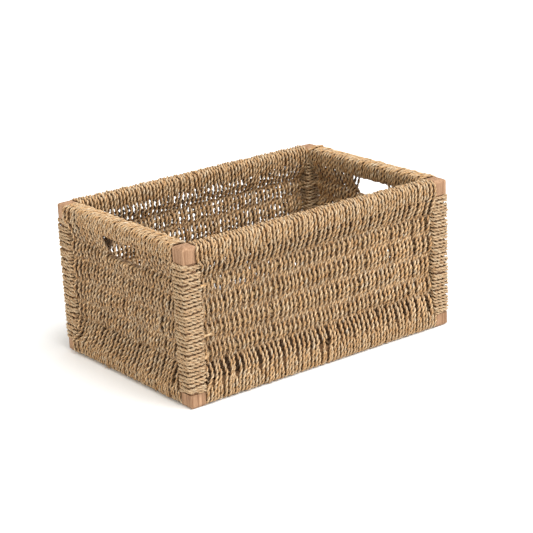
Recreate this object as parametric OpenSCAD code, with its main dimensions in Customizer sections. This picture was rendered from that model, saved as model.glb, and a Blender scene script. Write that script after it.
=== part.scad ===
// Open-topped seagrass storage basket: a jointed wooden frame of four corner posts
// and eight rails, thin stakes between the posts, and twisted seagrass cord
// woven over the rails and the stakes. Each woven side, the woven base and each
// wrapped post is a plain closed solid with its true outer shape.
// Millimetres. The origin is at the middle of the footprint, on the floor.
// +X runs along the long sides, +Y towards the back, +Z up.

/* [Basket] */
// Length over the two end pairs of posts
basket_l = 416; // [300:1:560]
// Width over the front and back posts
basket_w = 277; // [240:1:400]
// Height of the posts
basket_h = 200; // [180:1:300]

/* [Posts] */
// Side of a square post
post_side = 22; // [20:0.5:28]
// Radius along the four long edges of a post
post_edge_r = 2; // [1:0.25:4]
// Radius around the top and the foot of a post
post_end_r = 5; // [1:0.25:6]
// Bare timber left at the head of a post
head_bare = 20; // [14:0.5:24]
// Bare timber left at the foot of a post
foot_bare = 18; // [14:0.5:24]
// Depth that the post is cut back where the cord winds round it
rebate = 2; // [1:0.1:3]

/* [Rails and stakes] */
// Thickness of a rail, from outside to inside
rail_t = 16; // [13:0.5:17]
// Height of a rail's section
rail_h = 18; // [14:0.5:20]
// Radius along a rail's edges
rail_edge_r = 2.5; // [1:0.5:6]
// Diameter of a rail's end tenon
tenon_d = 8; // [6:0.5:8]
// Depth that a tenon reaches into its post
tenon_l = 6; // [4:0.5:6]
// Amount that the cord on the top rails stands above the posts
rim_rise = 1.5; // [0:0.25:3]
// Height of the bottom rails' cord above the floor
floor_gap = 0.5; // [0.25:0.25:4]
// Diameter of a stake
stake_d = 4.5; // [3:0.25:5]
// Depth that a stake reaches into its post or its rail
stake_seat = 5.5; // [3:0.5:5.5]

/* [Woven cord] */
// Diameter of the twisted seagrass cord
cord_d = 4; // [3:0.25:4.25]
// Amount that the wound and woven cord stands outside the bare timber
proud = 2; // [0.4:0.1:2.5]
// Gap between neighbouring woven solids
gap = 0.3; // [0.2:0.05:0.6]

/* [Hand holes] */
// Width of the hand hole in each end
hole_w = 70; // [60:1:100]
// Height of the hand hole, from the top stake's cord to the rim
hole_h = 23; // [18:0.5:27]
// Shift of the left end's hand hole towards the back
left_hole_shift = 2; // [0:1:16]
// Shift of the right end's hand hole towards the front
right_hole_shift = 12; // [0:1:16]

/* [Hidden] */
$fn = 64;
slip = 0.1;

SIDES = ["front", "back", "left", "right"];
CORNERS = ["front_left", "front_right", "back_left", "back_right"];
SIDE_STAKES = 4;
BASE_STAKES = 6;
LOW_GAP = 1.6;

timber = "#b98a66";
cane = "#a8865a";
seagrass = "#a58d62";

// Rails and stakes lie on the centre lines of the posts
inset = post_side / 2;
roll_t = rail_t + 2 * cord_d;
roll_h = rail_h + 2 * cord_d;
top_rail_z = basket_h + rim_rise - roll_h / 2;
bottom_rail_z = floor_gap + roll_h / 2;

// Heights between which a post is wound with cord
wrap_low = foot_bare;
wrap_high = basket_h - head_bare;

// A woven sheet is a stake with one cord outside it and one inside
weave_t = stake_d + 2 * cord_d;

// Distance from the outer face of an end post to the first strand of a side
weave_start = max(inset + roll_t / 2, post_side + proud) + gap;

// The top stake is the sill of the hand hole; the others follow at an even pitch,
// and the lowest stands LOW_GAP pitches above the bottom rail
hole_sill = top_rail_z - roll_h / 2 - hole_h;
stake_top_z = hole_sill - weave_t / 2;
stake_pitch = (stake_top_z - bottom_rail_z) / (SIDE_STAKES - 1 + LOW_GAP);

// The base hangs level with the middle of the bottom rails
base_half_w = basket_w / 2 - inset - roll_t / 2 - gap;
base_pitch = 2 * base_half_w / (BASE_STAKES + 1);

function run_of(side) = (side == "front" || side == "back") ? basket_l : basket_w;
function turn_of(side) = side == "front" ? 0 : side == "right" ? 90 : side == "back" ? 180 : 270;
function reach_of(side) = (side == "front" || side == "back") ? basket_w / 2 : basket_l / 2;
function is_end(side) = side == "left" || side == "right";
function hole_shift(side) = side == "left" ? left_hole_shift : right_hole_shift;
function stake_z(i) = stake_top_z - (SIDE_STAKES - i) * stake_pitch;

// Puts a side that is drawn along X, with its outer face on y = 0 and its inside
// towards +Y, in its place round the basket
module on_side(side) {
    rotate([0, 0, turn_of(side)])
        translate([0, -reach_of(side), 0])
            children();
}

// A rod of diameter d along X, centred on x = 0
module rod(d, length, y, z) {
    translate([-length / 2, y, z])
        rotate([0, 90, 0])
            cylinder(d = d, h = length);
}

// A rectangle with round corners, centred on the origin, drawn with true arcs
module soft_rectangle(size_x, size_y, r) {
    square([size_x - 2 * r, size_y], center = true);
    square([size_x, size_y - 2 * r], center = true);
    for (x = [-1, 1])
        for (y = [-1, 1])
            translate([x * (size_x / 2 - r), y * (size_y / 2 - r)])
                circle(r);
}

// Puts a corner that is drawn with its outer edge at the origin and the post
// towards +X and +Y in its place
module on_corner(corner) {
    at_right = corner == "front_right" || corner == "back_right";
    at_back = corner == "back_left" || corner == "back_right";
    mirror([at_right ? 1 : 0, 0, 0])
        mirror([0, at_back ? 1 : 0, 0])
            translate([-basket_l / 2, -basket_w / 2, 0])
                children();
}

// The bar that a post is cut from, round along its long edges and at both ends
module post_bar() {
    translate([post_side / 2, post_side / 2, basket_h / 2])
        intersection() {
            linear_extrude(height = basket_h, center = true)
                soft_rectangle(post_side, post_side, post_edge_r);
            rotate([90, 0, 0])
                linear_extrude(height = post_side, center = true)
                    soft_rectangle(post_side, basket_h, post_end_r);
            rotate([90, 0, 90])
                linear_extrude(height = post_side, center = true)
                    soft_rectangle(post_side, basket_h, post_end_r);
        }
}

// A square tube from the rebated shaft out to a given overhang past the bare post
module collar(overhang, low, high) {
    outer = post_side + 2 * overhang;
    shaft = post_side - 2 * rebate;
    translate([post_side / 2, post_side / 2, low])
        linear_extrude(height = high - low)
            difference() {
                soft_rectangle(outer, outer, post_edge_r + overhang);
                soft_rectangle(shaft, shaft, post_edge_r);
            }
}

// Runs its children for the two faces of a post that look along the basket's sides:
// drawn along +X first, then mirrored to run along +Y
module both_inner_faces() {
    children();
    mirror([1, -1, 0])
        children();
}

// Blind holes for the stakes' ends, or the room that a wrap leaves them
module stake_holes(d) {
    both_inner_faces()
        for (i = [1:SIDE_STAKES])
            translate([post_side - rebate - stake_seat, inset, stake_z(i)])
                rotate([0, 90, 0])
                    cylinder(d = d, h = post_side);
}

// Blind holes for the rails' tenons
module tenon_holes() {
    both_inner_faces()
        for (z = [bottom_rail_z, top_rail_z])
            translate([post_side - tenon_l, inset, z])
                rotate([0, 90, 0])
                    cylinder(d = tenon_d, h = post_side);
}

module post(corner) {
    color(timber)
        on_corner(corner)
            difference() {
                post_bar();
                collar(post_side, wrap_low, wrap_high);
                tenon_holes();
                stake_holes(stake_d);
            }
}

// A bar along X with a rail's section grown by a margin, at height z
module bar(margin, length, z) {
    translate([0, inset, z])
        rotate([90, 0, 90])
            linear_extrude(height = length, center = true)
                soft_rectangle(rail_t + 2 * margin, rail_h + 2 * margin, rail_edge_r + margin);
}

// A rail with a round tenon at each end; the bottom end rails also seat the base stakes
module rail(side, z) {
    shoulder = run_of(side) - 2 * post_side;
    color(timber)
        on_side(side)
            difference() {
                union() {
                    bar(0, shoulder, z);
                    rod(tenon_d, shoulder + 2 * tenon_l, inset, z);
                }
                if (is_end(side) && z == bottom_rail_z)
                    for (i = [1:BASE_STAKES])
                        base_stake_hole(i, stake_d, inset + rail_t / 2 - stake_seat);
            }
}

// Room for base stake i in an end side, from depth y inwards
module base_stake_hole(i, d, y) {
    translate([base_stake_place(i), y, bottom_rail_z])
        rotate([-90, 0, 0])
            cylinder(d = d, h = 2 * post_side);
}

function base_stake_place(i) = (i - (BASE_STAKES + 1) / 2) * base_pitch;

module stake(side, i) {
    color(cane)
        on_side(side)
            rod(stake_d, run_of(side) - 2 * (post_side - rebate - stake_seat), inset, stake_z(i));
}

module base_stake(i) {
    seat = inset + rail_t / 2 - stake_seat;
    color(cane)
        rod(stake_d, basket_l - 2 * seat, base_stake_place(i), bottom_rail_z);
}

// The woven sheet of a side between its two rolls, with the hand hole in an end
module sheet(side) {
    length = run_of(side) - 2 * weave_start;
    difference() {
        translate([-length / 2, inset - weave_t / 2, bottom_rail_z])
            cube([length, weave_t, top_rail_z - bottom_rail_z]);
        if (is_end(side))
            translate([-hole_w / 2 - hole_shift(side), 0, hole_sill])
                cube([hole_w, 2 * inset, basket_h]);
    }
}

// The cord of a side: its sheet, and a roll round each of its rails
module weave(side) {
    color(seagrass)
        on_side(side)
            difference() {
                union() {
                    sheet(side);
                    for (z = [bottom_rail_z, top_rail_z])
                        bar(cord_d, run_of(side) - 2 * weave_start, z);
                }
                for (z = [bottom_rail_z, top_rail_z])
                    bar(slip, run_of(side), z);
                for (i = [1:SIDE_STAKES])
                    rod(stake_d + 2 * slip, run_of(side), inset, stake_z(i));
                if (is_end(side))
                    for (i = [1:BASE_STAKES])
                        base_stake_hole(i, stake_d + 2 * slip, inset);
            }
}

module weave_base() {
    half_l = basket_l / 2 - inset - roll_t / 2 - gap;
    color(seagrass)
        difference() {
            translate([-half_l, -base_half_w, bottom_rail_z - weave_t / 2])
                cube([2 * half_l, 2 * base_half_w, weave_t]);
            for (i = [1:BASE_STAKES])
                rod(stake_d + 2 * slip, basket_l, base_stake_place(i), bottom_rail_z);
        }
}

// The cord wound round a post, with room for the stakes' ends and under the rails
module post_wrap(corner) {
    color(seagrass)
        on_corner(corner)
            difference() {
                collar(proud, wrap_low + slip, wrap_high - slip);
                stake_holes(stake_d + 2 * slip);
                both_inner_faces()
                    for (z = [bottom_rail_z, top_rail_z])
                        translate([1.5 * post_side - slip, 0, 0])
                            bar(slip, post_side, z);
            }
}

for (c = CORNERS) {
    post(c);
    post_wrap(c);
}
for (s = SIDES) {
    rail(s, top_rail_z);
    rail(s, bottom_rail_z);
    weave(s);
    for (i = [1:SIDE_STAKES])
        stake(s, i);
}
for (i = [1:BASE_STAKES])
    base_stake(i);
weave_base();
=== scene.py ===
"""Seagrass storage basket: the twisted cord, the grain of the timber, the camera and the light.

Lengths in the making of the cords are millimetres; meshes are written in metres.
"""

import math

import bpy
import numpy as np
from mathutils import Matrix, Vector


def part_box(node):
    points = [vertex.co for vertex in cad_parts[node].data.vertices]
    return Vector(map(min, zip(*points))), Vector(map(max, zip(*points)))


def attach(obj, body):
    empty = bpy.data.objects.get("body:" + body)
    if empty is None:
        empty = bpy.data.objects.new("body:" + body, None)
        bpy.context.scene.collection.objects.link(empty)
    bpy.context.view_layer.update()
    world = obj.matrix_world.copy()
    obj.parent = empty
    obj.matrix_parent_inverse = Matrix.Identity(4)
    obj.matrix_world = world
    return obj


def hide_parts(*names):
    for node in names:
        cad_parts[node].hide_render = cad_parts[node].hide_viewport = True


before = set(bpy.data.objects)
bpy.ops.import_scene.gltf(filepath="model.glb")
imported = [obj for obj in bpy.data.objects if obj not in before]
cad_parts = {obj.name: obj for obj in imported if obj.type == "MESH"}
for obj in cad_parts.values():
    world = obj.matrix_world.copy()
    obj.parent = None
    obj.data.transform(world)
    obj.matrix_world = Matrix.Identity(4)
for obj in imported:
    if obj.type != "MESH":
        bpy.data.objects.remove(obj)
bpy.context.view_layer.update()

MM = 0.001

# Radii of the two-ply cord: round the rails, in the base, round the posts, and at its cut ends.
# In the sides it changes between the side's two ends, which are given in that order.
CORD_R = 2.42
BASE_R = 2.6
POST_CORD_R = 2.45
END_R = 1.9
NECK_R = {"front": (2.35, 2.9), "back": (2.5, 2.5), "left": (2.7, 2.5), "right": (2.2, 2.2)}
STRAND_R = {"front": (2.35, 3.0), "back": (2.9, 2.9), "left": (2.75, 2.6), "right": (2.9, 2.9)}
INNER_NECK_R = 2.8

# How far a cord's middle lies from what it is laid on, less than its radius where it is squashed
LAY_R = 2.0
POST_LAY_R = 2.4
WEAVE_SQUASH = 0.2
BASE_SLACK = 0.6

# The two plies, as shares of the cord's radius, and the length of one turn of their twist
PLY_R = 0.57
PLY_OFFSET = 0.43
PLY_TURN = 14.5
TWIST_VARIES = 0.35
TWIST_PERIOD = 60.0
THICK_VARIES = 0.08
THICK_PERIOD = 35.0
LOBE_ANGLES = np.radians([-60, -25, 25, 60, 90, 120, 155, 205, 240, 270])

# Distance between the rings of points along a cord, how far its bends are rounded, and how far
# it stays off the floor
RING_STEP = 2.0
BASE_RING_STEP = 2.85
BEND_SOFTNESS = 1.8
POST_SOFTNESS = 1.0
FLOOR_GAP = 0.3

# Loose fibres
SIDE_FIBRES = 300
POST_FIBRES = 110
FIBRE_ANGLES = np.radians([0, 90, 180, 270])
FIBRE_RINGS = 6
# Fibres grow only where a cord's painted light is above this
SPROUT_LIGHT = 0.6
FIBRE_WIDTH = (0.2, 0.42)
FIBRE_LENGTH = (2.0, 7.0)
FRAY_LENGTH = (4.0, 8.0)
FRAY_COUNT = 14

# Spacing of the strands of a side, and of the turns round the rails and the posts
CYCLE_PITCH = {"front": 7.1, "back": 6.8, "left": 7.1, "right": 6.9}
BASE_PITCH = 3.4
RIM_PITCH = 4.95
ROLL_PITCH = 5.2
POST_PITCH = 4.55

# The hand hole along each end
HOLE_HALF = 35.0
HOLE_MIDDLE = {"left": -2.0, "right": -12.0}

# How far the turns on a rail reach past its bare length between the posts, and how much
# further from the posts the strands keep
RAIL_SPARE = 0.6
STRAND_CLEAR = 2.6

# How far the outermost strands ease outwards, and along, beside the posts at a side's two ends
STRAND_EASE = {"front": (1.0, 4.0), "back": (5.0, 2.0), "left": (6.0, 1.0), "right": (2.0, 5.0)}
STRAND_ASIDE = {"front": (0.0, 0.0), "back": (3.5, 0.0), "left": (0.0, 0.0), "right": (0.0, 3.5)}
EASE_REACH = 14.0
EASE_RISE = 20.0

# How far the outermost turns on a rail lap over the posts at its two ends, how proud they stand
# with a full lap, and the share of a turn where that begins and the share it takes
TOP_LAPS = {"front": (4.5, 1.5), "back": (3.0, 3.0), "left": (4.5, 1.0), "right": (3.0, 3.0)}
LOW_LAPS = {"front": (0.5, 0.2), "back": (3.0, 3.0), "left": (6.0, 0.5), "right": (3.0, 3.0)}
LAP_PROUD = 3.2
FULL_LAP = 3.0
LAP_REACH = 9.0
LAP_START = 2.5
LAP_FROM = 0.5
LAP_OVER = 0.3

# How far the cord on a bottom rail bulges outwards where it stands on the floor, and the sides
# where it is as uneven in height as on the rim
LOW_BULGE = 2.0
UNEVEN_ROLLS = ("back", "right")

# How far hand work puts the cord off its true place: all along a strand, as long and short
# waves (height, and the lengths they take along and up), and from one point to the next
LEAN_WAVES = [(1.3, 23.0, 31.0), (0.8, 7.3, -19.0)]
FULL_LEAN = 0.3
STRAND_LOOSE = 0.5
TOP_NECK_LOOSE = 0.3
LOW_NECK_LOOSE = 0.8
TURN_LOOSE = 0.15
TURN_SKEW = 1.1
TURN_BULGE = 0.6
TURN_PROUD = 0.1
TURN_UNEVEN = 0.35
SPACING_LOOSE = 0.4
POINT_LOOSE = 0.3

# Distances from a rail over which the cord changes from a turn on it to a strand of the weave,
# and from the middle of a side to a strand that is wholly in front or behind
RAIL_REACH = 6.0
WEAVE_START = 22.0
WEAVE_REACH = 8.0
LAYER_REACH = 3.0

# Painted light, which the material turns into painted shade where it is low: how fast it falls
# off a crest, what is left of it deep in the weave, that of a loose fibre, how much painted shade
# the groove between the plies takes, and how far from the middle of a side or of the base a cord is
# out of the weave's painted shade
CREST_POWER = 0.75
DEEP_LIGHT = 0.65
LOOSE_LIGHT = 0.9
GROOVE = 0.55
POST_GROOVE = 0.6
WEAVE_DEPTH = 5.0
BASE_DEPTH = 6.0

# Painted light of a cord where turns lie close together, which paints shade on the side facing the
# rail or the post: at its side, and what its crest adds to that
RAIL_LIFT = 0.22
RAIL_SPAN = 0.68
POST_LIFT = 0.48
POST_SPAN = 0.41

# The posts' wrapping: the rounding of its corners, how far in its ends are tucked, how loosely
# its turns lie, and how far it stands off at the corner inside the basket
WRAP_BEND = 2.6
WRAP_TUCK = 4.0
WRAP_SLACK = 0.65
WRAP_LOOSE = 0.4
INNER_SLACK = 2.6

# The lump in it over the end of a stake: its height, its reach up and to the sides, the share
# of the height left at its sides, and how near the stake's side of the post a point has to be
LUMP_HEIGHT = 4.6
LUMP_REACH = 4.2
LUMP_WIDTH = 6.0
LUMP_EDGE = 0.35
LUMP_DEPTH = 2.5
LUMP_SPAN = 11.0

# Strands between a rail and the next stake: off the middle plane, and away from the stake
NECK_STEPS = [(0.0, 9.0), (4.2, 16.0), (8.6, 26.0)]

TURNS = {"front": 0, "right": 90, "back": 180, "left": 270}
CORNERS = ("front_left", "front_right", "back_left", "back_right")


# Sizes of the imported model

def node_box(name):
    """The lowest and highest corners of a CAD node, in millimetres."""
    low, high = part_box(name)
    return np.array(low) / MM, np.array(high) / MM


post_low, post_high = node_box("post_front_left")
HALF_L, HALF_W = -post_low[0], -post_low[1]
HEIGHT = post_high[2]
POST = post_high[0] - post_low[0]

rail_low, rail_high = node_box("top_rail_front")
RAIL_T = rail_high[1] - rail_low[1]
RAIL_H = rail_high[2] - rail_low[2]
INSET = (rail_low[1] + rail_high[1]) / 2 + HALF_W
TOP_Z = (rail_low[2] + rail_high[2]) / 2
BOTTOM_Z = float(np.mean([corner[2] for corner in node_box("bottom_rail_front")]))
RAIL_EDGE_R = 2.5

SIDE_STAKES = sorted(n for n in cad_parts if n.startswith("stake_front_"))
BASE_STAKES = sorted(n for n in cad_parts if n.startswith("base_stake_"))
STAKE_Z = [float(np.mean([corner[2] for corner in node_box(n)])) for n in SIDE_STAKES]
BASE_Y = [float(np.mean([corner[1] for corner in node_box(n)])) for n in BASE_STAKES]
STAKE_R = (node_box("stake_front_1")[1][2] - node_box("stake_front_1")[0][2]) / 2
WEAVE_STEP = STAKE_R + LAY_R - WEAVE_SQUASH
REBATE = 2.0
WRAP_LOW = node_box("post_wrap_front_left")[0][2]
WRAP_HIGH = node_box("post_wrap_front_left")[1][2]


# Paths

def resampled(points, step):
    """The same polyline with points an even step apart."""
    gaps = np.linalg.norm(np.diff(points, axis=0), axis=1)
    length = np.concatenate([[0.0], np.cumsum(gaps)])
    count = max(4, int(round(length[-1] / step)) + 1)
    places = np.linspace(0.0, length[-1], count)
    return np.stack([np.interp(places, length, points[:, k]) for k in range(3)], axis=1)


def softened(waypoints, softness=BEND_SOFTNESS, step=RING_STEP):
    """A smooth path near a list of waypoints, with points an even step apart."""
    fine = 0.5
    path = resampled(np.array(waypoints, float), fine)
    reach = int(math.ceil(3 * softness / fine))
    offsets = np.arange(-reach, reach + 1) * fine
    weights = np.exp(-0.5 * (offsets / softness) ** 2)
    weights /= weights.sum()
    padded = np.concatenate([np.repeat(path[:1], reach, 0), path, np.repeat(path[-1:], reach, 0)])
    smooth = np.stack([np.convolve(padded[:, k], weights, "valid") for k in range(3)], axis=1)
    return resampled(smooth, step)


def on_side(side, points):
    """Points given as (along, inwards, up) on a side, in the basket's frame."""
    turn = math.radians(TURNS[side])
    reach = HALF_W if side in ("front", "back") else HALF_L
    along = points[:, 0]
    inwards = points[:, 1] - reach
    x = along * math.cos(turn) - inwards * math.sin(turn)
    y = along * math.sin(turn) + inwards * math.cos(turn)
    return np.stack([x, y, points[:, 2]], axis=1)


# Tubes

def lobe_radius(angle):
    """Outline of two round plies side by side, as a fraction of the cord's radius."""
    along = PLY_OFFSET * np.abs(np.cos(angle))
    return along + np.sqrt(PLY_R ** 2 - (PLY_OFFSET * np.sin(angle)) ** 2)


def tube(path, reference, rng, radius=CORD_R, angles=LOBE_ANGLES):
    """A two-ply cord laid along a path: its rings of points, and its plies as the material
    reads them: round the cord twice, along it in millimetres."""
    tangent = np.gradient(path, axis=0)
    tangent /= np.linalg.norm(tangent, axis=1, keepdims=True)
    side = reference - tangent * (tangent @ reference)[:, None]
    side /= np.linalg.norm(side, axis=1, keepdims=True)
    up = np.cross(tangent, side)
    gaps = np.linalg.norm(np.diff(path, axis=0), axis=1)
    length = np.concatenate([[0.0], np.cumsum(gaps)])
    wander = TWIST_VARIES * wavering(length, TWIST_PERIOD, rng)
    phase = 2 * math.pi * (length / PLY_TURN + wander) + rng.uniform(0, 2 * math.pi)
    thick = np.asarray(radius) * (1 + THICK_VARIES * wavering(length, THICK_PERIOD, rng))
    outline = lobe_radius(angles)
    turned = angles[None, :] + phase[:, None]
    reach = thick[:, None] * outline[None, :]
    rings = (path[:, None, :]
             + (reach * np.cos(turned))[:, :, None] * side[:, None, :]
             + (reach * np.sin(turned))[:, :, None] * up[:, None, :])
    along = np.repeat((length + rng.uniform(0, 5000))[:, None], len(angles), axis=1)
    ply = np.stack([np.broadcast_to(np.cos(angles), along.shape),
                    np.broadcast_to(np.sin(angles), along.shape), along], axis=2)
    return rings, ply


def groove_light(angles=LOBE_ANGLES):
    """How far each line along a cord lies out of the groove between its plies, 0 to 1."""
    outline = lobe_radius(angles)
    return (outline - outline.min()) / (outline.max() - outline.min())


def painted_lighting(depth, facing, groove=GROOVE):
    """Painted light that the material reads: 0 where it paints shade deep in the weave or at a
    cord's side, 1 on a crest; the groove between the plies takes some off as painted shade.
    """
    crest = np.clip(facing, 0.0, 1.0) * (1 - groove + groove * groove_light()[None, :])
    return crest ** CREST_POWER * (DEEP_LIGHT + (1 - DEEP_LIGHT) * np.clip(depth, 0.0, 1.0))


def smooth_step(share):
    """A share from 0 to 1 with its start and its end rounded off."""
    return share * share * (3 - 2 * share)


def wavering(length, period, rng):
    """A smooth random value along a cord, mostly between -1 and 1."""
    knots = np.arange(0.0, length[-1] + 2 * period, period)
    values = rng.normal(0.0, 0.5, len(knots))
    place = length / period
    low = np.floor(place).astype(int)
    blend = smooth_step(place - low)
    return values[low] * (1 - blend) + values[low + 1] * blend


def tube_faces(rings, points, first):
    """Quads round a tube and over its two ends, with the points counted from first."""
    ring = np.arange(rings - 1)[:, None] * points
    here = np.arange(points)[None, :]
    after = (here + 1) % points
    sides = np.stack([ring + here, ring + after, ring + points + after, ring + points + here], 2)
    caps = []
    for k in range(points // 2 - 1):
        caps.append([points - 1 - k, points - 2 - k, k + 1, k])
    end = (rings - 1) * points
    for k in range(points // 2 - 1):
        caps.append([end + k, end + k + 1, end + points - 2 - k, end + points - 1 - k])
    return np.concatenate([sides.reshape(-1, 4), np.array(caps)]) + first


def strip_uvs(tubes, rows):
    """Corners of every quad on a page where the cords lie in rows, one strip under another."""
    total = sum(len(rings) - 1 for rings, _ in tubes)
    per_row = int(math.ceil(total / (rows - 1)))
    pages = []
    done = 0
    for rings, _ in tubes:
        steps, points = len(rings) - 1, rings.shape[1]
        index = done + np.arange(steps)
        row, column = index // per_row, index % per_row
        u0 = (column / per_row)[:, None] * np.ones(points)
        u1 = ((column + 1) / per_row)[:, None] * np.ones(points)
        share = 0.08 + 0.84 * np.arange(points + 1) / points
        v0 = (row[:, None] + share[None, :-1]) / rows
        v1 = (row[:, None] + share[None, 1:]) / rows
        sides = np.stack([np.stack([u0, v0], 2), np.stack([u0, v1], 2),
                          np.stack([u1, v1], 2), np.stack([u1, v0], 2)], 2)
        pages.append(sides.reshape(-1, 2))
        caps = 2 * (points // 2 - 1)
        corner = np.array([[0.0, 0.1], [0.0, 0.9], [1.0, 0.9], [1.0, 0.1]])
        spot = (np.arange(caps)[:, None, None] + corner[None, :, :] * [0.9, 1.0]) / [caps, rows]
        pages.append((spot + [0.0, (rows - 1) / rows]).reshape(-1, 2))
        done += steps
    return np.concatenate(pages)


def quad_mesh(name, points, faces):
    """A smooth mesh of quads."""
    mesh = bpy.data.meshes.new(name)
    mesh.vertices.add(len(points))
    mesh.vertices.foreach_set("co", points.astype(np.float32).ravel())
    mesh.loops.add(faces.size)
    mesh.loops.foreach_set("vertex_index", faces.astype(np.int32).ravel())
    mesh.polygons.add(len(faces))
    mesh.polygons.foreach_set("loop_start", np.arange(0, faces.size, 4, dtype=np.int32))
    mesh.update(calc_edges=True)
    mesh.shade_smooth()
    return mesh


def cord_piece(name, tubes, shades, material, rows=100):
    """One mesh of one or more tubes, in metres, with the attributes that the material reads and a UV
    map.
    """
    points = np.concatenate([rings.reshape(-1, 3) for rings, _ in tubes]) * MM
    plies = np.concatenate([ply.reshape(-1, 3) for _, ply in tubes])
    painted_light = np.concatenate([shade.ravel() for shade in shades])
    faces = []
    first = 0
    for rings, _ in tubes:
        faces.append(tube_faces(rings.shape[0], rings.shape[1], first))
        first += rings.shape[0] * rings.shape[1]
    mesh = quad_mesh(name, points, np.concatenate(faces))
    layer = mesh.attributes.new("ply", "FLOAT_VECTOR", "POINT")
    layer.data.foreach_set("vector", plies.astype(np.float32).ravel())
    # Painted light: the seagrass material paints shade into the colour where this is low
    layer = mesh.attributes.new("painted_light", "FLOAT", "POINT")
    layer.data.foreach_set("value", painted_light.astype(np.float32))
    page = mesh.uv_layers.new(name="OFBake")
    page.data.foreach_set("uv", strip_uvs(tubes, rows).astype(np.float32).ravel())
    mesh.materials.append(material)
    piece = bpy.data.objects.new(name, mesh)
    bpy.context.scene.collection.objects.link(piece)
    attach(piece, "root")
    return piece


# The woven sides

def rail_turn(middle):
    """Half turns of cord round a rail: over from inside to outside, and back under."""
    half_t = RAIL_T / 2 + LAY_R
    half_h = RAIL_H / 2 + LAY_R
    bend = RAIL_EDGE_R + LAY_R
    flat_t, flat_h = half_t - bend, half_h - bend
    slant = bend * math.sqrt(0.5)
    over = [(INSET + half_t, middle - flat_h), (INSET + half_t, middle),
            (INSET + half_t, middle + flat_h),
            (INSET + flat_t + slant, middle + flat_h + slant),
            (INSET + flat_t, middle + half_h), (INSET - flat_t, middle + half_h),
            (INSET - flat_t - slant, middle + flat_h + slant),
            (INSET - half_t, middle + flat_h), (INSET - half_t, middle),
            (INSET - half_t, middle - flat_h)]
    under = [(2 * INSET - d, 2 * middle - z) for d, z in over[3:7]]
    return over, under


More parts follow.
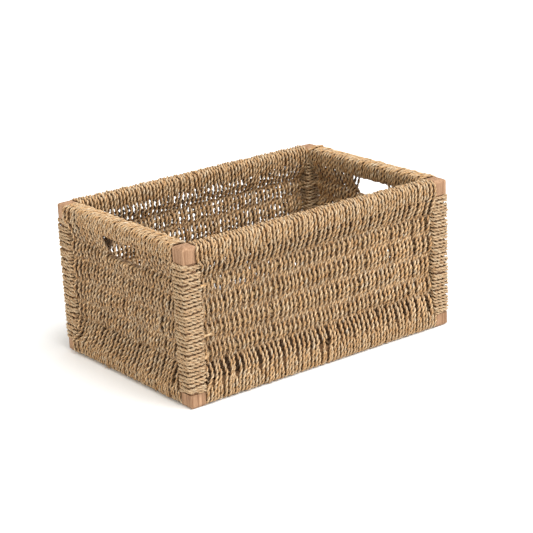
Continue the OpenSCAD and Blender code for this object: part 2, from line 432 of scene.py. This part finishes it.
class SideWeaver:
    """Lays the cord of one side: strands up and down over the stakes, turns round the rails."""

    def __init__(self, side, seed):
        self.side = side
        self.rng = np.random.default_rng(seed)
        run = HALF_L if side in ("front", "back") else HALF_W
        self.half = run - POST + RAIL_SPARE
        self.woven = self.half - STRAND_CLEAR
        self.cycles = int(round(2 * self.woven / CYCLE_PITCH[side]))
        self.pitch = 2 * self.woven / self.cycles
        self.rims = int(round(2 * self.half / RIM_PITCH))
        self.rolls = int(round(2 * self.half / ROLL_PITCH))
        self.over, self.under = rail_turn(TOP_Z)
        low_over, low_under = rail_turn(BOTTOM_Z)
        last = len(low_over) - 1
        self.low_over = [(d - LOW_BULGE * (k / last) ** 2, 2 * BOTTOM_Z - z)
                         for k, (d, z) in enumerate(low_over)]
        self.low_under = [(d, 2 * BOTTOM_Z - z) for d, z in low_under]
        self.way = []
        self.drift = self.rng.uniform(0, 2 * math.pi, 4)

    def in_hole(self, along):
        """Whether a place along the side is in its hand hole."""
        return self.side in HOLE_MIDDLE and abs(along - HOLE_MIDDLE[self.side]) < HOLE_HALF

    def put(self, along, inwards, up, loose):
        """Adds a waypoint, a little off its true place as hand work is."""
        lean = sum(height * math.sin(along / run + up / climb + drift)
                   for (height, run, climb), drift in zip(LEAN_WAVES, self.drift))
        lean *= min(1.0, loose / FULL_LEAN)
        jitter = self.rng.normal(0.0, loose, 3)
        self.way.append((along + lean + jitter[0], inwards + 0.5 * jitter[1], up + jitter[2]))

    def strand(self, along, first_front, upwards):
        """A strand in and out of the stakes, in front of the top one if first_front."""
        order = range(len(STAKE_Z))
        if not upwards:
            order = reversed(order)
        top = len(STAKE_Z) - 1
        for k in order:
            in_front = ((top - k) % 2 == 0) == first_front
            shift = -WEAVE_STEP if in_front else WEAVE_STEP
            self.put(along, INSET + shift, STAKE_Z[k], STRAND_LOOSE)

    def neck(self, along, outwards, upwards, at_top):
        """The stretch between a rail and the stake next to it, where strands part round the rail."""
        sign = -1 if outwards else 1
        steps = NECK_STEPS if upwards == at_top else reversed(NECK_STEPS)
        for off, away in steps:
            up = STAKE_Z[-1] + away if at_top else STAKE_Z[0] - away
            loose = TOP_NECK_LOOSE if at_top else LOW_NECK_LOOSE
            self.put(along, INSET + sign * off, up, loose)

    def lapped(self, along, share, laps):
        """A turn's place along the rail, and how proud it stands, at a share of the way out."""
        blend = smooth_step(min(max((share - LAP_FROM) / LAP_OVER, 0.0), 1.0))
        proud = 0.0
        for end, lap in zip((-1, 1), laps):
            gap = self.half - end * along - LAP_START
            near = math.exp(-max(gap, 0.0) / LAP_REACH) * blend
            along += end * lap * near
            proud = max(proud, near * min(lap / FULL_LAP, 1.0) * LAP_PROUD)
        return along, proud

    def turns(self, places, middle_turn, back_turn, laps, uneven):
        """Turns round a rail at the given places along it, one after another."""
        for n, along in enumerate(places):
            if n > 0:
                before = places[n - 1]
                for k, (inwards, up) in enumerate(back_turn):
                    share = (k + 1) / (len(back_turn) + 1)
                    self.put(before + (along - before) * share, inwards, up, TURN_LOOSE)
            skew = self.rng.normal(0.0, TURN_SKEW)
            bulge = self.rng.normal(0.0, TURN_BULGE)
            proud = max(-TURN_PROUD, self.rng.normal(TURN_PROUD, TURN_UNEVEN))
            for k, (inwards, up) in enumerate(middle_turn):
                share = k / (len(middle_turn) - 1)
                shift = skew * (share - 0.5) + bulge * math.sin(math.pi * share)
                side = math.copysign(proud, inwards - INSET)
                lift = proud * math.sin(math.pi * share) if uneven else 0.0
                spot, out = self.lapped(along, share, laps)
                self.put(spot + shift, inwards + side - out, up + lift, TURN_LOOSE)

    def places(self, cycle, count):
        """Places of the turns that belong to a cycle, evenly spaced along the whole rail."""
        first = int(round(cycle * count / self.cycles))
        last = int(round((cycle + 1) * count / self.cycles))
        spacing = 2 * self.half / count
        spots = [-self.half + (k + 0.5) * spacing for k in range(first, last)]
        return [spot + self.rng.normal(0.0, SPACING_LOOSE) for spot in spots]

    def hairpin(self, from_along, to_along):
        """The fold of a strand over the top stake, under the hand hole."""
        for angle in (20, 60, 90, 120, 160):
            turn = math.radians(angle)
            share = angle / 180
            self.put(from_along + (to_along - from_along) * share,
                     INSET - WEAVE_STEP * math.cos(turn),
                     STAKE_Z[-1] + WEAVE_STEP * math.sin(turn), TURN_LOOSE)

    def weave(self, first, last):
        """The continuous cord of some cycles, and the turns that the hand hole leaves out."""
        self.way = []
        left_out = []
        for cycle in range(first, last):
            jitter = self.rng.normal(0.0, SPACING_LOOSE)
            rise = -self.woven + (cycle + 0.25) * self.pitch + jitter
            fall = rise + 0.5 * self.pitch
            self.neck(rise, True, True, False)
            self.strand(rise, True, True)
            rim_places = self.places(cycle, self.rims)
            if self.in_hole(0.5 * (rise + fall)):
                self.hairpin(rise, fall)
                left_out += rim_places
            else:
                self.neck(rise, False, True, True)
                self.turns(rim_places, self.over, self.under, TOP_LAPS[self.side], True)
                self.neck(fall, True, False, True)
            self.strand(fall, False, False)
            self.neck(fall, False, False, False)
            self.turns(self.places(cycle, self.rolls), self.low_over, self.low_under,
                       LOW_LAPS[self.side], self.side in UNEVEN_ROLLS)
        return self.laid(), left_out

    def easing(self, along, far):
        """How far along and outwards the cord shifts beside the posts, far from the rails."""
        free = np.clip(far / EASE_RISE, 0.0, 1.0)
        shift = np.zeros((len(along), 2))
        for end, out, aside in zip((-1, 1), STRAND_EASE[self.side], STRAND_ASIDE[self.side]):
            gap = np.maximum(self.woven - end * along, 0.0)
            near = free * np.exp(-gap / EASE_REACH)
            shift -= near[:, None] * [end * aside, out]
        return shift

    def radii(self, along, inwards, far):
        """Radius of the cord at places on the side, at distances far from the rails."""
        ends = [-self.half, self.half]
        neck = np.interp(along, ends, NECK_R[self.side])
        neck = np.where(inwards < INSET, neck, INNER_NECK_R)
        strand = np.interp(along, ends, STRAND_R[self.side])
        radius = CORD_R + (neck - CORD_R) * np.clip(far / RAIL_REACH, 0.0, 1.0)
        return radius + (strand - radius) * np.clip((far - WEAVE_START) / WEAVE_REACH, 0.0, 1.0)

    def painted_light(self, path, rings, radius, out):
        """Painted light of a laid cord, low where shade is painted: lit where it faces out from the
        rail on a rail, and to a side in the weave, with painted shade deep in the weave.
        """
        near = np.abs(out[:, 1]) - RAIL_H / 2 - LAY_R
        blend = np.clip(near / RAIL_REACH, 0.0, 1.0)[:, None]
        offset = (rings - path[:, None, :]) / radius[:, None, None]
        out = out / np.linalg.norm(out, axis=1, keepdims=True)
        on_rail = offset[:, :, 1] * out[:, :1] + offset[:, :, 2] * out[:, 1:]
        # Painted shade: on a strand in front or behind, the side towards the middle of the weave is
        # darkened, as is a cord deep in the weave
        layer = np.clip((path[:, 1:2] - INSET) / LAYER_REACH, -1.0, 1.0)
        in_weave = np.abs(offset[:, :, 1]) * (1 - np.abs(layer)) + offset[:, :, 1] * layer
        facing = (RAIL_SPAN * on_rail + RAIL_LIFT) * (1 - blend) + in_weave * blend
        depth = 1 + (np.abs(rings[:, :, 1] - INSET) / WEAVE_DEPTH - 1) * blend
        return painted_lighting(depth, facing)

    def laid(self):
        """The waypoints so far as a tube in its place round the basket, and its painted light."""
        path = softened(self.way)
        along, inwards = path[:, 0], path[:, 1]
        middle = np.where(path[:, 2] > HEIGHT / 2, TOP_Z, BOTTOM_Z)
        out = np.stack([inwards - INSET, path[:, 2] - middle], axis=1)
        far = np.abs(out[:, 1]) - RAIL_H / 2
        radius = self.radii(along, inwards, far)
        rings, ply = tube(path, np.array([1.0, 0.0, 0.0]), self.rng, radius)
        rings[:, :, 2] = np.maximum(rings[:, :, 2], FLOOR_GAP)
        painted_light = self.painted_light(path, rings, radius, out)
        rings[:, :, :2] += self.easing(along, far)[:, None]
        placed = on_side(self.side, rings.reshape(-1, 3)).reshape(rings.shape)
        return (placed, ply), painted_light

    def rim_only(self, places):
        """The cord round the rail above the hand hole."""
        self.way = []
        self.turns(places, self.over, self.under, TOP_LAPS[self.side], True)
        return self.laid()


def weave_side(side, seed, parts, material, fibres):
    """The cord pieces of one side."""
    weaver = SideWeaver(side, seed)
    pieces = []
    left_out = []
    for part in range(parts):
        first = weaver.cycles * part // parts
        last = weaver.cycles * (part + 1) // parts
        (cord, painted_light), skipped = weaver.weave(first, last)
        left_out += skipped
        fibres.sprout(cord[0], painted_light, SIDE_FIBRES // parts)
        pieces.append(cord_piece(f"cord_{side}_{part + 1}", [cord], [painted_light], material))
    if left_out:
        cord, painted_light = weaver.rim_only(left_out)
        pieces.append(cord_piece(f"cord_{side}_rim", [cord], [painted_light], material, 50))
    for piece in pieces:
        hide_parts(f"weave_{side}")


# The base

def weave_base(seed, material):
    """Strands from front to back over and under the base stakes."""
    rng = np.random.default_rng(seed)
    half_x = HALF_L - INSET - RAIL_T / 2 - 2 * LAY_R
    half_y = HALF_W - INSET - RAIL_T / 2 - LAY_R
    count = int(2 * half_x / BASE_PITCH)
    step = STAKE_R + LAY_R + BASE_SLACK
    middle = float(np.mean([corner[2] for corner in node_box("base_stake_1")]))
    way = []
    for n in range(count):
        x = -half_x + (n + 0.5) * 2 * half_x / count
        forwards = n % 2 == 0
        order = range(len(BASE_Y)) if forwards else range(len(BASE_Y) - 1, -1, -1)
        end = half_y if forwards else -half_y
        way.append((x, -end, middle))
        for k in order:
            above = (k + n) % 2 == 0
            up = step if above else -step
            jitter = rng.normal(0.0, POINT_LOOSE, 2)
            way.append((x + jitter[0], BASE_Y[k] + jitter[1], middle + up))
        way.append((x, end, middle))
    path = softened(way, step=BASE_RING_STEP)
    cord = tube(path, np.array([1.0, 0.0, 0.0]), rng, BASE_R)
    # Painted light: shade is painted on the sides of the base's strands and deep in the base
    facing = np.abs(cord[0][:, :, 2] - path[:, 2:]) / BASE_R
    painted_light = painted_lighting(np.abs(cord[0][:, :, 2] - middle) / BASE_DEPTH, facing)
    piece = cord_piece("cord_base", [cord], [painted_light], material)
    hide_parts("weave_base")


# The posts' wrappings

def square_turn():
    """One turn round a post's shaft, from the middle of its front face, as (x, y)."""
    half = POST / 2 - REBATE + POST_LAY_R
    flat = half - WRAP_BEND
    slant = WRAP_BEND * math.sqrt(0.5)
    quarter = [(0.0, -half), (flat, -half), (flat + slant, -flat - slant), (half, -flat)]
    turn = []
    for _ in range(4):
        turn += quarter
        quarter = [(-y, x) for x, y in quarter]
    return [(x + POST / 2, y + POST / 2) for x, y in turn]


def slackened(x, y):
    """Moves a point of a post's wrapping outwards near the corner inside the basket."""
    inner = max(0.0, min(x, y) - POST / 2) / (POST / 2)
    return x + INNER_SLACK * inner, y + INNER_SLACK * inner


def round_stake(x, y, z):
    """Moves a point of a post's wrapping out and round the end of a stake, if one is near."""
    for axis in (0, 1):
        out, across = (x, y) if axis == 0 else (y, x)
        aside = across - POST / 2
        if out < POST - LUMP_DEPTH or abs(aside) > LUMP_SPAN:
            continue
        for stake in STAKE_Z:
            off = z - stake
            near = math.exp(-(off / LUMP_REACH) ** 2)
            middle = math.exp(-(aside / LUMP_WIDTH) ** 2)
            out += LUMP_HEIGHT * near * (LUMP_EDGE + (1 - LUMP_EDGE) * middle)
            clear = (STAKE_R + LAY_R) * middle
            if abs(off) < clear:
                z = stake + math.copysign(clear, off)
        x, y = (out, y) if axis == 0 else (x, out)
    return x, y, z


def wrapping(rng):
    """The path of the cord wound round a post from foot to head, from the post's outer corner."""
    turn = square_turn()
    low, high = WRAP_LOW + LAY_R, WRAP_HIGH - LAY_R
    turns = int(round((high - low) / POST_PITCH))
    way = [(POST / 2, POST / 2 - WRAP_TUCK, low)]
    for n in range(turns + 1):
        slack = rng.normal(0.0, WRAP_SLACK, 4)
        for k, (x, y) in enumerate(turn):
            z = low + (high - low) * (n - 0.5 + k / len(turn)) / turns
            z += slack[k // 4] + rng.normal(0.0, WRAP_LOOSE)
            x, y, z = round_stake(*slackened(x, y), min(max(z, low), high))
            jitter = rng.normal(0.0, POINT_LOOSE, 2)
            way.append((x + jitter[0], y + jitter[1], z))
    way.append((POST / 2, POST / 2 - WRAP_TUCK, high))
    return softened(way, POST_SOFTNESS)


def wrap_post(corner, seed, material, fibres):
    """The cord wound round one post."""
    rng = np.random.default_rng(seed)
    mirror_x = -1 if "left" in corner else 1
    mirror_y = -1 if "front" in corner else 1
    path = wrapping(rng)
    path[:, 0] = mirror_x * (HALF_L - path[:, 0])
    path[:, 1] = mirror_y * (HALF_W - path[:, 1])
    cord = tube(path, np.array([0.0, 0.0, 1.0]), rng, POST_CORD_R)
    middle = np.array([mirror_x * (HALF_L - POST / 2), mirror_y * (HALF_W - POST / 2), 0.0])
    out = (path - middle) * [1.0, 1.0, 0.0]
    out /= np.linalg.norm(out, axis=1, keepdims=True)
    # Painted light: shade is painted on the side of each turn that faces the post, and in the groove
    # between its plies
    facing = np.einsum("ijk,ik->ij", cord[0] - path[:, None, :], out) / POST_CORD_R
    painted_light = painted_lighting(np.ones_like(facing), POST_SPAN * facing + POST_LIFT, POST_GROOVE)
    fibres.sprout(cord[0], painted_light, POST_FIBRES)
    piece = cord_piece(f"cord_post_{corner}", [cord], [painted_light], material, 50)
    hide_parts(f"post_wrap_{corner}")


# Loose fibres and the ends of the cords

class Fibres:
    """Fibres that stand off the cords, gathered into one piece."""

    def __init__(self, seed):
        self.rng = np.random.default_rng(seed)
        self.tubes = []

    def grow(self, root, direction, bend, length):
        """One flat tapering fibre from a root point, curving as it goes."""
        share = np.linspace(0.0, 1.0, FIBRE_RINGS)[:, None]
        path = root + length * (share * direction + share ** 2 * bend)
        path[:, 2] = np.maximum(path[:, 2], 2 * FLOOR_GAP)
        width = self.rng.uniform(*FIBRE_WIDTH) * (1 - 0.6 * share[:, 0])
        across = np.cross(direction, self.rng.normal(0.0, 1.0, 3))
        self.tubes.append(tube(path, across, self.rng, width, FIBRE_ANGLES))

    def sprout(self, rings, painted_light, count):
        """Fibres from random places on the lit side of a cord, where its painted light is high."""
        ring, point = np.nonzero(painted_light[1:-1] > SPROUT_LIGHT)
        for pick in self.rng.choice(len(ring), count, replace=False):
            n, k = ring[pick] + 1, point[pick]
            middle = rings[n].mean(axis=0)
            out = rings[n, k] - middle
            out /= np.linalg.norm(out)
            along = rings[n + 1].mean(axis=0) - rings[n - 1].mean(axis=0)
            along *= self.rng.choice([-1.0, 1.0]) / np.linalg.norm(along)
            direction = along + self.rng.uniform(0.3, 0.8) * out + self.rng.normal(0.0, 0.25, 3)
            bend = self.rng.uniform(-0.5, 0.1) * out + self.rng.normal(0.0, 0.25, 3)
            self.grow(rings[n, k] - 0.4 * out, direction, bend, self.rng.uniform(*FIBRE_LENGTH))

    def fray(self, root, direction, length):
        """The end of a cord: a short stub with its fibres spread."""
        direction = np.array(direction) / np.linalg.norm(direction)
        share = np.linspace(0.0, 1.0, FIBRE_RINGS)[:, None]
        path = root + length * share * direction
        path += self.rng.normal(0.0, 0.25, path.shape) * share
        path[:, 2] = np.maximum(path[:, 2], END_R + FLOOR_GAP)
        thick = END_R * np.array([1.0, 1.0, 1.0, 0.95, 0.85, 0.6])
        self.tubes.append(tube(path, np.array([0.1, 0.2, 1.0]), self.rng, thick))
        for _ in range(FRAY_COUNT):
            spread = direction + self.rng.normal(0.0, 0.5, 3)
            bend = self.rng.normal(0.0, 0.3, 3)
            self.grow(path[3], spread, bend, self.rng.uniform(*FRAY_LENGTH))

    def piece(self, material):
        """All the fibres as one mesh."""
        # Loose fibres get one even painted light, so a little painted shade
        shades = [np.full(rings.shape[:2], LOOSE_LIGHT) for rings, _ in self.tubes]
        return cord_piece("loose_fibres", self.tubes, shades, material, 40)


def fray_ends(fibres):
    """Ends of cord that stick out beside the near post, and under the left side."""
    for up, length, rise in ((150.0, 6.0, 0.1), (88.0, 11.0, 0.2), (60.0, 7.0, 1.4)):
        fibres.fray([POST - HALF_L, -HALF_W - 1.0, up], (1.0, -0.2, rise), length)
    fibres.fray([-HALF_L + 4.0, -HALF_W + 183.0, 3.0], (-1.0, -0.2, -0.1), 4.0)


# Materials

class Nodes:
    """A material's node tree, built with short calls."""

    def __init__(self, name):
        self.material = bpy.data.materials.new(name)
        self.material.use_nodes = True
        self.tree = self.material.node_tree
        self.shader = self.tree.nodes["Principled BSDF"]

    def add(self, kind, **settings):
        node = self.tree.nodes.new(kind)
        for key, value in settings.items():
            if hasattr(node, key):
                setattr(node, key, value)
            else:
                node.inputs[key.replace("_", " ").capitalize()].default_value = value
        return node

    def link(self, out, into):
        self.tree.links.new(out, into)

    def maths(self, operation, first, second, third=None):
        node = self.tree.nodes.new("ShaderNodeMath")
        node.operation = operation
        for k, value in enumerate((first, second, third)):
            if value is None:
                continue
            if isinstance(value, (int, float)):
                node.inputs[k].default_value = value
            else:
                self.link(value, node.inputs[k])
        return node.outputs[0]

    def noise(self, vector, scale, detail=3.0, rough=0.55):
        node = self.tree.nodes.new("ShaderNodeTexNoise")
        node.inputs["Scale"].default_value = scale
        node.inputs["Detail"].default_value = detail
        node.inputs["Roughness"].default_value = rough
        self.link(vector, node.inputs["Vector"])
        return node.outputs["Fac"]

    def stretched(self, vector, scale):
        node = self.tree.nodes.new("ShaderNodeMapping")
        node.inputs["Scale"].default_value = scale
        self.link(vector, node.inputs["Vector"])
        return node.outputs["Vector"]

    def ramp(self, value, stops):
        node = self.tree.nodes.new("ShaderNodeValToRGB")
        while len(node.color_ramp.elements) < len(stops):
            node.color_ramp.elements.new(0.5)
        for element, (place, colour) in zip(node.color_ramp.elements, stops):
            element.position = place
            element.color = (*colour, 1.0)
        self.link(value, node.inputs["Fac"])
        return node.outputs["Color"]

    def mix(self, share, first, second, blend="MIX"):
        node = self.tree.nodes.new("ShaderNodeMix")
        node.data_type = "RGBA"
        node.blend_type = blend
        for number, value in ((0, share), (6, first), (7, second)):
            socket = node.inputs[number]
            if isinstance(value, (int, float)):
                socket.default_value = value
            elif isinstance(value, tuple):
                socket.default_value = (*value, 1.0)
            else:
                self.link(value, socket)
        return node.outputs[2]

    def bump(self, height, distance, strength=1.0):
        node = self.tree.nodes.new("ShaderNodeBump")
        node.inputs["Strength"].default_value = strength
        node.inputs["Distance"].default_value = distance
        self.link(height, node.inputs["Height"])
        self.link(node.outputs["Normal"], self.shader.inputs["Normal"])


def srgb(red, green, blue):
    """A colour given as 0 to 255 display values, in linear light."""
    return tuple(((c / 255 + 0.055) / 1.055) ** 2.4 for c in (red, green, blue))


# The dark brown of the painted shade in the seagrass
SHADE_COLOUR = srgb(66, 34, 14)


def seagrass(name, dark, middle, light, pale, shade_strength):
    """Dried seagrass: plies of long fibres whose colour changes along and across the cord, with
    painted shade mixed in where its painted light is low."""
    n = Nodes(name)
    ply = n.add("ShaderNodeAttribute", attribute_name="ply").outputs["Vector"]
    slow = n.noise(n.stretched(ply, (0.5, 0.5, 0.016)), 1.0, 2.0)
    patch = n.noise(n.stretched(ply, (1.1, 1.1, 0.09)), 1.0, 3.0)
    fibre = n.noise(n.stretched(ply, (5.5, 5.5, 0.11)), 1.0, 4.0, 0.6)
    value = n.maths("MULTIPLY_ADD", slow, 0.55, n.maths("MULTIPLY", patch, 0.65))
    value = n.maths("MULTIPLY_ADD", fibre, 0.55, n.maths("SUBTRACT", value, 0.37))
    colour = n.ramp(value, [(0.22, dark), (0.42, middle), (0.58, light), (0.78, pale)])
    speck = n.noise(n.stretched(ply, (3.0, 3.0, 0.5)), 1.0, 2.0)
    brown = n.maths("MULTIPLY", n.maths("SUBTRACT", speck, 0.62), 5.0)
    brown = n.maths("MINIMUM", n.maths("MAXIMUM", brown, 0.0), 0.6)
    colour = n.mix(brown, colour, dark)
    # Painted shade: the colour goes towards a dark brown where the painted light is low, by up to the
    # strength given
    painted_light = n.add("ShaderNodeAttribute", attribute_name="painted_light").outputs["Fac"]
    share = n.maths("MULTIPLY", n.maths("SUBTRACT", 1.0, painted_light), shade_strength)
    colour = n.mix(share, colour, SHADE_COLOUR)
    n.link(colour, n.shader.inputs["Base Color"])
    rough = n.maths("MULTIPLY_ADD", fibre, 0.35, 0.36)
    n.link(rough, n.shader.inputs["Roughness"])
    n.shader.inputs["Specular IOR Level"].default_value = 0.5
    n.bump(fibre, 0.0006)
    return n.material


def timber(name, dark, light):
    """Sanded timber with an open grain along its length."""
    n = Nodes(name)
    place = n.add("ShaderNodeTexCoord").outputs["Object"]
    broad = n.noise(n.stretched(place, (280.0, 280.0, 14.0)), 1.0, 3.0)
    grain = n.noise(n.stretched(place, (900.0, 900.0, 30.0)), 1.0, 4.0, 0.6)
    pores = n.noise(n.stretched(place, (2600.0, 2600.0, 160.0)), 1.0, 2.0, 0.5)
    value = n.maths("MULTIPLY_ADD", grain, 0.7, n.maths("MULTIPLY", broad, 0.6))
    value = n.maths("MULTIPLY_ADD", pores, 0.25, n.maths("SUBTRACT", value, 0.27))
    colour = n.ramp(value, [(0.25, dark), (0.72, light)])
    n.link(colour, n.shader.inputs["Base Color"])
    n.link(n.maths("MULTIPLY_ADD", grain, 0.3, 0.55), n.shader.inputs["Roughness"])
    n.shader.inputs["Specular IOR Level"].default_value = 0.2
    n.bump(n.maths("ADD", grain, pores), 0.0003)
    return n.material


def cane_rod(name):
    """Peeled cane: pale, with fine mottling and broader blotches."""
    n = Nodes(name)
    place = n.add("ShaderNodeTexCoord").outputs["Object"]
    blotch = n.noise(place, 60.0, 4.0)
    fine = n.noise(place, 900.0, 3.0)
    value = n.maths("MULTIPLY_ADD", fine, 0.4, n.maths("MULTIPLY", blotch, 0.6))
    colour = n.ramp(value, [(0.3, srgb(120, 92, 60)), (0.7, srgb(176, 146, 104))])
    n.link(colour, n.shader.inputs["Base Color"])
    n.link(n.maths("MULTIPLY_ADD", fine, 0.3, 0.4), n.shader.inputs["Roughness"])
    n.bump(fine, 0.0002)
    return n.material


def floor_paper(name):
    """A plain white studio floor."""
    n = Nodes(name)
    place = n.add("ShaderNodeTexCoord").outputs["Object"]
    colour = n.ramp(n.noise(place, 3.0), [(0.3, (0.86, 0.86, 0.86)), (0.7, (0.88, 0.88, 0.88))])
    n.link(colour, n.shader.inputs["Base Color"])
    n.shader.inputs["Roughness"].default_value = 0.9
    n.shader.inputs["Specular IOR Level"].default_value = 0.1
    return n.material


def dress_frame():
    """Timber and cane on the CAD pieces that stay in view."""
    post_timber = timber("timber_post", srgb(104, 68, 42), srgb(192, 154, 122))
    # The rails' timber is darkened, as painted shade for where it shows between the turns of cord
    rail_timber = timber("timber_rail", srgb(116, 84, 58), srgb(162, 126, 90))
    cane = cane_rod("cane")
    for name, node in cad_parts.items():
        if name.startswith("post_wrap") or name.startswith("weave"):
            continue
        material = cane
        if name.startswith("post_"):
            material = post_timber
        elif "rail" in name:
            material = rail_timber
        node.data.materials.clear()
        node.data.materials.append(material)


# Studio

CAMERA_PLACE = (-1.2133, -1.6247, 0.7704)
CAMERA_AZIMUTH = 37.12
CAMERA_ELEVATION = 18.38
CAMERA_ROLL = -2.585
CAMERA_LENS = 111.2
FLOOR_REACH = 12.0
SURROUNDINGS = 0.74
KEY_LIGHT = {"towards": (-0.4, 1.05, -1.75), "softness": 48.0, "power": 3.3}
FILL_LIGHT = {"towards": (1.0, 0.35, -0.75), "softness": 90.0, "power": 0.95,
              "colour": (1.0, 0.93, 0.75)}


def add_camera():
    """The camera at the photograph's viewing angle."""
    data = bpy.data.cameras.new("camera")
    data.lens = CAMERA_LENS
    data.sensor_width = 36.0
    data.clip_end = 20.0
    camera = bpy.data.objects.new("camera", data)
    aim = (Matrix.Rotation(math.radians(-CAMERA_AZIMUTH), 4, "Z")
           @ Matrix.Rotation(math.radians(90 - CAMERA_ELEVATION), 4, "X")
           @ Matrix.Rotation(math.radians(CAMERA_ROLL), 4, "Z"))
    camera.matrix_world = Matrix.Translation(CAMERA_PLACE) @ aim
    bpy.context.scene.collection.objects.link(camera)
    bpy.context.scene.camera = camera


def add_sun(name, towards, softness, power, colour=(1.0, 1.0, 1.0)):
    """A distant soft lamp that shines along a direction."""
    data = bpy.data.lights.new(name, "SUN")
    data.color = colour
    data.angle = math.radians(softness)
    data.energy = power
    lamp = bpy.data.objects.new(name, data)
    lamp.rotation_euler = Vector(towards).to_track_quat("-Z", "Y").to_euler()
    bpy.context.scene.collection.objects.link(lamp)


def add_studio():
    """White floor, white surroundings and two soft lamps."""
    mesh = bpy.data.meshes.new("floor")
    corners = [(x * FLOOR_REACH, y * FLOOR_REACH, 0) for x, y in ((-1, -1), (1, -1), (1, 1), (-1, 1))]
    mesh.from_pydata(corners, [], [(0, 1, 2, 3)])
    mesh.materials.append(floor_paper("floor_paper"))
    floor = bpy.data.objects.new("floor", mesh)
    bpy.context.scene.collection.objects.link(floor)
    world = bpy.data.worlds.new("studio")
    world.use_nodes = True
    back = world.node_tree.nodes["Background"]
    back.inputs["Color"].default_value = (1.0, 1.0, 1.0, 1.0)
    back.inputs["Strength"].default_value = SURROUNDINGS
    bpy.context.scene.world = world
    add_sun("key", **KEY_LIGHT)
    add_sun("fill", **FILL_LIGHT)
    bpy.context.scene.view_settings.view_transform = "Standard"


# The last number is how much painted shade each of the two cords takes
weave_cord = seagrass("seagrass_weave", srgb(128, 82, 44), srgb(226, 176, 116),
                      srgb(240, 208, 164), srgb(248, 236, 212), 0.88)
post_cord = seagrass("seagrass_post", srgb(140, 98, 62), srgb(202, 164, 120),
                     srgb(212, 184, 146), srgb(228, 210, 178), 0.57)

add_camera()
fibres = Fibres(31)
weave_side("front", 11, 2, weave_cord, fibres)
weave_side("back", 12, 2, weave_cord, fibres)
weave_side("left", 13, 1, weave_cord, fibres)
weave_side("right", 14, 1, weave_cord, fibres)
weave_base(15, weave_cord)
for number, corner in enumerate(CORNERS):
    wrap_post(corner, 21 + number, post_cord, fibres)
fray_ends(fibres)
fibres.piece(weave_cord)
dress_frame()
add_studio()
